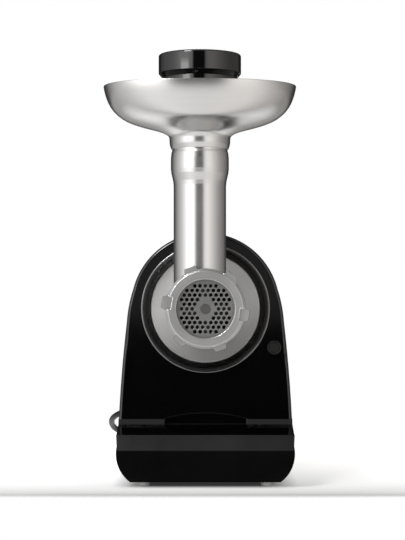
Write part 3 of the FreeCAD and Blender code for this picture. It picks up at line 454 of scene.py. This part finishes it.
def coilPoints(kit):
    width = 2 * kit["radius"]
    low = kit["lift"] + kit["radius"]
    high = low + kit["layer"] * width
    # Radius and height at the start of each turn: the lower layer winds inwards, then the upper
    # one outwards.
    stages = [
        (kit["middle"] + width, low), (kit["middle"], low), (kit["middle"] - width, low),
        (kit["middle"] - width / 2, high), (kit["middle"] + width / 2, high),
    ]
    points = []
    start = math.radians(kit["start"])
    for turn in range(len(stages)):
        now, after = stages[turn], stages[min(turn + 1, len(stages) - 1)]
        for step in range(kit["turnPoints"]):
            share = step / kit["turnPoints"]
            ease = max(0.0, min(1.0, (share - kit["easeFrom"]) / (1 - kit["easeFrom"])))
            ease = ease * ease * (3 - 2 * ease)
            radius = now[0] + (after[0] - now[0]) * ease
            height = now[1] + (after[1] - now[1]) * ease
            points.append(coilPoint(kit, radius, start - 2 * math.pi * share, height))
    radius, height = stages[-1]
    # A last bit of a turn brings the end to the right-hand side.
    for step in range(4):
        points.append(coilPoint(kit, radius, start * (1 - step / 3), height))
    return points[1:]


plugLow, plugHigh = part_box("plug_body")
plugNeck = Vector(((plugLow.x + plugHigh.x) / 2, plugHigh.y, (plugLow.z + plugHigh.z) / 2))
leadEnd = [(plugNeck.x / mm - 1, plugNeck.y / mm + 9, plugNeck.z / mm - 1.2), tuple(plugNeck / mm)]
leadCurve = bpy.data.curves.new("mainsLead", "CURVE")
leadCurve.dimensions = "3D"
leadCurve.bevel_depth = leadKit["radius"] * mm
leadCurve.bevel_resolution = 5
leadCurve.resolution_u = 6
leadCurve.use_fill_caps = True
leadPoints = leadRoute + coilPoints(leadKit) + leadEnd
spline = leadCurve.splines.new("NURBS")
spline.points.add(len(leadPoints) - 1)
for point, at in zip(spline.points, leadPoints):
    point.co = (at[0] * mm, at[1] * mm, at[2] * mm, 1)
spline.order_u = 3
spline.use_endpoint_u = True
lead = bpy.data.objects.new("mainsLead", leadCurve)
bpy.context.scene.collection.objects.link(lead)
leadCurve.materials.append(finish["leadBlack"])
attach(lead, "housing")
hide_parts("mains_cord", "cord_coil", "cord_tail")

# A piece turned about an axis. Its outline's points are radius and place along it, in millimetres.
def lathe(name, outline, centre, way, worn, steps=72, bend=0, smoothFrom=40, sharpFrom=25):
    shape = bmesh.new()
    along = Vector((0, 1, 0)) if way == "Y" else Vector((0, 0, 1))
    points = []
    for radius, place in outline:
        at = Vector(centre) + Vector((1, 0, 0)) * radius * mm + along * place * mm
        points.append(shape.verts.new(at))
    for first, second in zip(points, points[1:]):
        shape.edges.new((first, second))
    bmesh.ops.spin(
        shape, geom=shape.verts[:] + shape.edges[:], cent=centre, axis=along,
        angle=2 * math.pi, steps=steps, use_merge=True,
    )
    bmesh.ops.remove_doubles(shape, verts=shape.verts[:], dist=0.000005)
    bmesh.ops.recalc_face_normals(shape, faces=shape.faces[:])
    if bend:
        sharp = math.radians(sharpFrom)
        bent = [e for e in shape.edges if e.is_manifold and e.calc_face_angle() > sharp]
        bmesh.ops.bevel(
            shape, geom=bent, offset=bend * mm, offset_type="OFFSET", affect="EDGES",
            segments=2, profile=0.5, material=-1, clamp_overlap=True,
        )
    return finished(name, shape, worn, smoothFrom)


def finished(name, shape, worn, smoothFrom=40):
    mesh = bpy.data.meshes.new(name)
    shape.to_mesh(mesh)
    shape.free()
    for polygon in mesh.polygons:
        polygon.use_smooth = True
    mesh.set_sharp_from_angle(angle=math.radians(smoothFrom))
    for each in worn:
        mesh.materials.append(finish[each])
    piece = bpy.data.objects.new(name, mesh)
    bpy.context.scene.collection.objects.link(piece)
    return piece


def takes(piece, body, slot, *stoodFor):
    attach(piece, body)
    if stoodFor:
        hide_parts(*stoodFor)
    return piece


# A ribbed sleeve keeps the lead from kinking where it leaves the rear cover.
glandLow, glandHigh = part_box("cord_gland")
reliefKit = {
    "out": 2.0, "ribs": 6, "ribFrom": 4.6, "ribTo": 21.5, "thick": 6.5, "thin": 4.5,
    "groove": 0.75, "bore": 3.3, "flange": 8.4, "stem": 5.8,
}


def reliefOutline(kit, inside, length):
    outline = [
        (kit["bore"], inside), (kit["stem"], inside), (kit["stem"], 0.1), (kit["flange"], 0.1),
        (kit["flange"], kit["out"]), (kit["thick"], 3.4),
    ]
    pitch = (kit["ribTo"] - kit["ribFrom"]) / kit["ribs"]
    for rib in range(kit["ribs"]):
        radius = kit["thick"] + (kit["thin"] - kit["thick"]) * (rib + 0.5) / kit["ribs"]
        start = kit["ribFrom"] + rib * pitch
        low = radius - kit["groove"]
        outline += [(radius, start), (radius, start + pitch * 0.55)]
        outline += [(low, start + pitch * 0.6), (low, start + pitch * 0.95)]
    end = [(kit["thin"] - 0.3, kit["ribTo"] + 0.3), (kit["thin"] - 0.6, length)]
    return outline + end + [(kit["bore"], length)]


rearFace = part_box("rear_cover")[1].y
reliefAt = (leadRoute[0][0] * mm, rearFace, leadRoute[0][2] * mm)
reliefEnds = [(end.y - rearFace) / mm for end in (glandLow, glandHigh)]
relief = lathe(
    "leadRelief", reliefOutline(reliefKit, *reliefEnds), reliefAt, "Y", ["leadBlack"], 40, 0.12,
)
takes(relief, "housing", "lead_sheath", "cord_gland")

# The plug's grip, with rings for the fingers.
gripKit = {
    "rings": 5, "from": 25.5, "to": 38.5, "deep": 0.9, "thick": 13.5,
    "neck": [(0, 0), (4.0, 0), (4.3, 6), (5.6, 14), (9.0, 17), (13.0, 23)],
    "face": [(13.7, 39), (13.7, 40.5), (12.9, 41.9), (0, 41.9)],
}


def gripOutline(kit):
    outline = list(kit["neck"])
    pitch = (kit["to"] - kit["from"]) / kit["rings"]
    low = kit["thick"] - kit["deep"]
    for ring in range(kit["rings"]):
        start = kit["from"] + ring * pitch
        outline += [(kit["thick"], start), (kit["thick"], start + pitch * 0.5)]
        outline += [(low, start + pitch * 0.62), (low, start + pitch * 0.9)]
    return outline + kit["face"]


gripTurned = [(r, -y) for r, y in gripOutline(gripKit)]
grip = lathe("plugGrip", gripTurned, tuple(plugNeck), "Y", ["leadBlack"], 64, 0.25)
takes(grip, "housing", "lead_sheath", "plug_body")

print("lead laid")

# The tray: an oval bowl with a round neck that slips over the feed tube.
trayKit = {
    "outside": [
        (26.75, 317.6), (27.0, 318.6), (27.9, 320.9), (28.4, 323.2), (28.4, 328.4),
        (29.2, 329.9), (31.5, 331.9), (39.7, 335.3), (51.9, 338.0), (64.5, 342.0),
        (72.4, 345.5), (81.3, 353.0), (85.8, 360.5), (88.6, 368.5), (89.8, 374.6),
    ],
    "lip": [(89.95, 375.7), (89.5, 375.98), (89.0, 375.7)],
    "wall": 1.4, "halfDepth": 65.0, "oval": 0.3, "segments": 112, "boreRadius": 26.4,
    "neck": 29.2,
}


def trayLevels(kit):
    outside = kit["outside"]
    inside = []
    for i, (width, z) in enumerate(outside):
        before = outside[max(i - 1, 0)]
        after = outside[min(i + 1, len(outside) - 1)]
        run = Vector((after[0] - before[0], after[1] - before[1])).normalized()
        narrow = max(width - run.y * kit["wall"], kit["boreRadius"])
        inside.append((narrow, z + run.x * kit["wall"]))
    return outside + kit["lip"] + inside[::-1]


def makeTray(kit):
    levels = trayLevels(kit)
    shape = bmesh.new()
    bmesh.ops.create_circle(shape, cap_ends=False, segments=kit["segments"], radius=1)
    first = shape.edges[:]
    edge = first
    for level in levels[1:]:
        made = bmesh.ops.extrude_edge_only(shape, edges=edge)["geom"]
        risen = [v for v in made if isinstance(v, bmesh.types.BMVert)]
        bmesh.ops.translate(shape, verts=risen, vec=(0, 0, 1))
        edge = [e for e in made if isinstance(e, bmesh.types.BMEdge)]
    bmesh.ops.bridge_loops(shape, edges=first + edge)
    neck = kit["neck"]
    rim = kit["outside"][-1][0]
    # Each level is put in its place: round at the neck, fuller than an ellipse at the rim.
    for v in shape.verts:
        width, z = levels[round(v.co.z)]
        share = max(0, min(1, (width - neck) / (rim - neck)))
        depth = width if width < neck else neck + (kit["halfDepth"] - neck) * share
        power = 2 / (2 + kit["oval"] * share)
        turned = math.atan2(v.co.y, v.co.x)
        x, y = math.cos(turned), math.sin(turned)
        v.co.x = trayCentre[0] + math.copysign(abs(x) ** power, x) * width * mm
        v.co.y = trayCentre[1] + math.copysign(abs(y) ** power, y) * depth * mm
        v.co.z = z * mm
    bmesh.ops.recalc_face_normals(shape, faces=shape.faces[:])
    tray = finished("tray", shape, ["trayMetal"], 60)
    smooth = tray.modifiers.new("smooth", "SUBSURF")
    smooth.levels = smooth.render_levels = 1
    return takes(tray, "tray", "spun_aluminium", "hopper_tray")


makeTray(trayKit)

# The pusher's cap and the collar under it.
capKit = {
    "low": 384.1, "top": 406.0, "radius": 38.5, "edge": 2.0, "cornerSteps": 6,
    "foot": [(34.7, 384.1), (37.9, 387.4), (38.5, 388.4)],
    "recess": [(31.2, 405.65), (30.4, 405.15), (0, 405.1)],
}


def capOutline(kit):
    outline = [(0, kit["low"])] + kit["foot"]
    edge = kit["edge"]
    corner = (kit["radius"] - edge, kit["top"] - edge)
    for step in range(kit["cornerSteps"] + 1):
        turned = math.radians(90 / kit["cornerSteps"] * step)
        x = corner[0] + edge * math.cos(turned)
        outline.append((x, corner[1] + edge * math.sin(turned)))
    return outline + [(32.2, kit["top"])] + kit["recess"]


capCentre = (trayCentre[0], trayCentre[1], 0)
cap = lathe("pusherLid", capOutline(capKit), capCentre, "Z", ["capBlack"], 128, 0, 22)
takes(cap, "pusher", "gloss_black", "pusher_cap")

print("pieces ready")

# A pale floor, white behind and greyer towards the front as painted shade, that fades out round the
# object.
floorKit = {
    "reach": 0.9, "white": 1.0, "front": 0.36, "greyFrom": 0.06, "greyTo": -0.19,
    "falloff": 0.6, "edge": -0.212, "glow": 0.7, "shade": 0.94,
    "underX": 0.07, "underBack": 0.1, "underFront": -0.13, "fadeFrom": 0.22, "fadeTo": 0.6,
}


def makeFloor(kit):
    made, at, shader = material("floorPale", Roughness=0.5)
    x, y, z = at.parts()
    # Painted shade: the floor's colour greys towards the front.
    nearness = y.between(kit["greyTo"], kit["greyFrom"])
    nearness = nearness.maths("POWER", nearness, kit["falloff"])
    drift = at.noise(9, 2, 0.5).between(0.3, 0.7, 0.985, 1.0)
    level = nearness.between(0, 1, kit["front"], kit["white"]) * drift
    side = x.maths("ABSOLUTE", x)
    # Painted shadow: the floor is darkened where the base stands over it.
    under = side.between(kit["underX"] + 0.02, kit["underX"] - 0.015)
    under = under * y.between(kit["underBack"] + 0.02, kit["underBack"])
    under = under * y.between(kit["underFront"] - 0.012, kit["underFront"] + 0.015)
    shaded = level * (1 - under * kit["shade"])
    plug(shaded.joined(shaded, shaded, shaded), shader, "Base Color")
    plug(shaded.joined(shaded, shaded, shaded), shader, "Emission Color")
    shader.inputs["Emission Strength"].default_value = kit["glow"]
    reach = farFrom(x, y)
    ahead = y.between(kit["edge"] + 0.02, kit["edge"] - 0.004)
    fade = (reach.between(kit["fadeFrom"], kit["fadeTo"]) + ahead).clamped()
    tree = made.node_tree
    clear = at.node("ShaderNodeBsdfTransparent")
    body = Wire(tree, shader.outputs[0])
    mixed = at.node("ShaderNodeMixShader", i0=fade, i1=body, i2=clear)
    tree.links.new(mixed.socket, tree.nodes["Material Output"].inputs[0])
    return made


def makeFloorPiece():
    mesh = bpy.data.meshes.new("floor")
    shape = bmesh.new()
    bmesh.ops.create_grid(shape, x_segments=1, y_segments=1, size=floorKit["reach"])
    shape.to_mesh(mesh)
    shape.free()
    floor = bpy.data.objects.new("floor", mesh)
    mesh.materials.append(makeFloor(floorKit))
    bpy.context.scene.collection.objects.link(floor)


makeFloorPiece()

# Studio light by direction, in degrees: turn is 0 towards the camera's side and grows to the right.
# Two tall soft boxes with a dark gap between them, a pale sweep below and a weaker light overhead.
studioKit = {
    "level": [
        (-180, 0.02), (-146, 0.03), (-130, 0.26), (-105, 0.68), (-86, 1.0), (-69, 1.5),
        (-55, 2.3), (-36, 2.4), (-22, 1.7), (-17, 0.015), (12, 0.015), (18, 1.2), (27, 1.5),
        (41, 1.4), (55, 1.05), (71, 0.78), (88, 0.5), (108, 0.36), (130, 0.22), (146, 0.03),
        (180, 0.02),
    ],
    "below": [
        (-180, 0.4), (-120, 0.6), (-75, 0.95), (-45, 1.35), (0, 1.15), (45, 1.2), (80, 0.75),
        (120, 0.42), (180, 0.4),
    ],
    "above": [(-180, 0.3), (-60, 0.75), (0, 0.5), (60, 0.45), (180, 0.3)],
    "lowFrom": (-7, -13),
    "highFrom": (28, 48),
    # Two patches: their level, then where each fades in and out by turn and by rise.
    "patches": [
        (0.3, (-15, -12), (9, 6), (-0.9, -0.5), (5.5, 4)),
        (3.0, (-57, -50), (-28, -34), (5, 7), (13, 10)),
    ],
    "strongest": 2.5,
    "strength": 1.0,
}


def ramp(wire, stops, strongest):
    made = wire.tree.nodes.new("ShaderNodeValToRGB")
    bar = made.color_ramp
    while len(bar.elements) < len(stops):
        bar.elements.new(0.5)
    for element, (turn, level) in zip(bar.elements, stops):
        element.position = (turn + 180) / 360
        element.color = grey(level / strongest, 0.03 if turn > 20 else 0.006)
    wire.tree.links.new(wire.socket, made.inputs[0])
    return Wire(wire.tree, made.outputs[0])


def makeStudio(kit):
    world = bpy.data.worlds.new("studio")
    bpy.context.scene.world = world
    world.use_nodes = True
    tree = world.node_tree
    towards = Wire(tree, tree.nodes.new("ShaderNodeTexCoord").outputs["Generated"])
    x, y, z = towards.parts()
    turn = x.maths("ARCTAN2", x, y * -1) * (180 / math.pi)
    rise = z.maths("ARCSINE", z) * (180 / math.pi)
    along = turn.between(-180, 180)
    upright = ramp(along, kit["level"], kit["strongest"])
    below = ramp(along, kit["below"], kit["strongest"])
    above = ramp(along, kit["above"], kit["strongest"])
    low = rise.between(*kit["lowFrom"])
    high = rise.between(*kit["highFrom"])
    light = high.blend(low.blend(upright, below), above)
    glow = []
    for level, left, right, foot, head in kit["patches"]:
        across = turn.between(*left) * turn.between(*right)
        inside = across * rise.between(*foot) * rise.between(*head)
        glow.append(inside * (level / kit["strongest"]))
    faint = glow[0] + glow[1]
    patches = faint.joined(faint, faint, faint)
    light = light.node("ShaderNodeVectorMath", {"operation": "ADD"}, i0=light, i1=patches)
    back = tree.nodes["Background"]
    tree.links.new(light.socket, back.inputs[0])
    back.inputs[1].default_value = kit["strongest"] * kit["strength"]
    shown = towards.node("ShaderNodeBackground", Color=(1, 1, 1, 1), Strength=1.0)
    seen = towards.node("ShaderNodeLightPath", outlet="Is Camera Ray")
    mixed = seen.node("ShaderNodeMixShader", i0=seen, i1=Wire(tree, back.outputs[0]), i2=shown)
    tree.links.new(mixed.socket, tree.nodes["World Output"].inputs[0])


makeStudio(studioKit)

# A key light from high on the left, which shades what stands behind the head.
keyKit = {
    "at": (-0.75, -1.15, 1.25), "aim": (0, -0.1, 0.2), "wide": 0.45, "high": 0.45, "power": 16,
}


def makeKey(kit):
    light = bpy.data.lights.new("key", "AREA")
    light.shape = "RECTANGLE"
    light.size = kit["wide"]
    light.size_y = kit["high"]
    light.energy = kit["power"]
    key = bpy.data.objects.new("key", light)
    key.location = kit["at"]
    towards = Vector(kit["aim"]) - Vector(kit["at"])
    key.rotation_euler = towards.to_track_quat("-Z", "Y").to_euler()
    bpy.context.scene.collection.objects.link(key)


makeKey(keyKit)
bpy.context.scene.view_settings.view_transform = "Standard"
print("studio ready")
